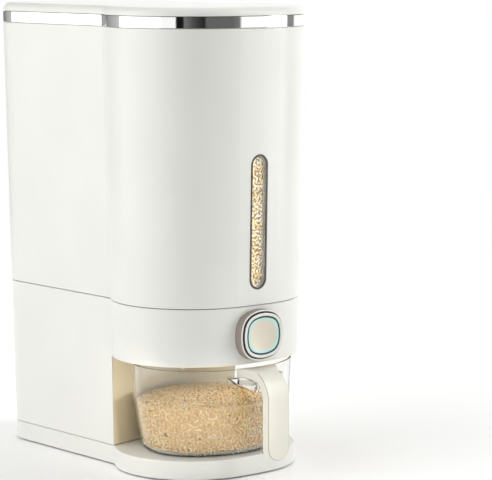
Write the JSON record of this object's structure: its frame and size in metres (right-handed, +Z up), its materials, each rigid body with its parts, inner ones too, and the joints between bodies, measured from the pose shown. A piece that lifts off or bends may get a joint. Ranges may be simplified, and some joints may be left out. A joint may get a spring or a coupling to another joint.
{
  "type": "rice dispenser",
  "caption": "Countertop rice dispenser: tapered hopper with slot window and hinged lid, push button that moves a slotted shutter, and a clear pull-out cup with a strap handle.",
  "frame": {"origin": "on the table under the middle of the whole object, handle and hinge included", "axes": "+Z up, the front with the button and the cup faces -Y, +X to the right seen from the front"},
  "size_m": [0.2034, 0.3666, 0.45],
  "materials": {
    "body_white": "satin",
    "inner_plastic": "satin",
    "cream_plastic": "satin",
    "clear_plastic": "clear, polished",
    "dark_trim": "gloss",
    "teal_ring": "translucent",
    "chrome_band": "polished",
    "steel": "plain",
    "foot_rubber": "matt",
    "seal_rubber": "matt"
  },
  "bodies": {
    "dispenser": {"base_plinth": "body_white", "bottom_cover": "inner_plastic", "rubber_feet": "foot_rubber", "cover_screws": "steel", "base_housing": "body_white", "housing_screws": "steel", "alcove_ceiling": "body_white", "ceiling_screws": "steel", "drop_chute": "inner_plastic", "gate_rail_left": "inner_plastic", "gate_rail_right": "inner_plastic", "outlet_plate": "inner_plastic", "gate_screws": "steel", "funnel_gasket": "seal_rubber", "hopper_funnel": "inner_plastic", "button_collar": "body_white", "stem_guide": "inner_plastic", "guide_screws": "steel", "return_spring": "steel", "bin_shell": "body_white", "bin_screws": "steel", "window_frame": "dark_trim", "window_lens": "clear_plastic", "window_retainer": "inner_plastic", "hinge_pin": "steel"},
    "lid": {"lid_top": "body_white", "lid_band": "chrome_band", "lid_inner": "body_white", "lid_seal": "seal_rubber", "lid_screws": "steel"},
    "button": {"button_rim": "body_white", "button_ring": "teal_ring", "button_cap": "cream_plastic", "button_carrier": "inner_plastic", "button_screw": "steel", "push_rod": "inner_plastic", "gate_plate": "inner_plastic", "arm_screw": "steel"},
    "cup": {"measuring_cup": "clear_plastic", "cup_handle": "cream_plastic", "handle_screws": "steel"}
  },
  "joints": [
    {"name": "lid_hinge", "type": "hinge", "parent": "dispenser", "child": "lid", "pos_m": [0, 0.17976, 0.43065], "axis": [-1, 0, 0], "range_deg": [0, 95]},
    {"name": "button_press", "type": "slide", "parent": "dispenser", "child": "button", "axis": [0, 1, 0], "range_m": [0, 0.008], "stiffness_N_per_m": 400, "springref_m": -0.006, "deforming": ["return_spring"]},
    {"name": "cup_slide", "type": "slide", "parent": "dispenser", "child": "cup", "axis": [0, -1, 0], "range_m": [0, 0.2]}
  ]
}
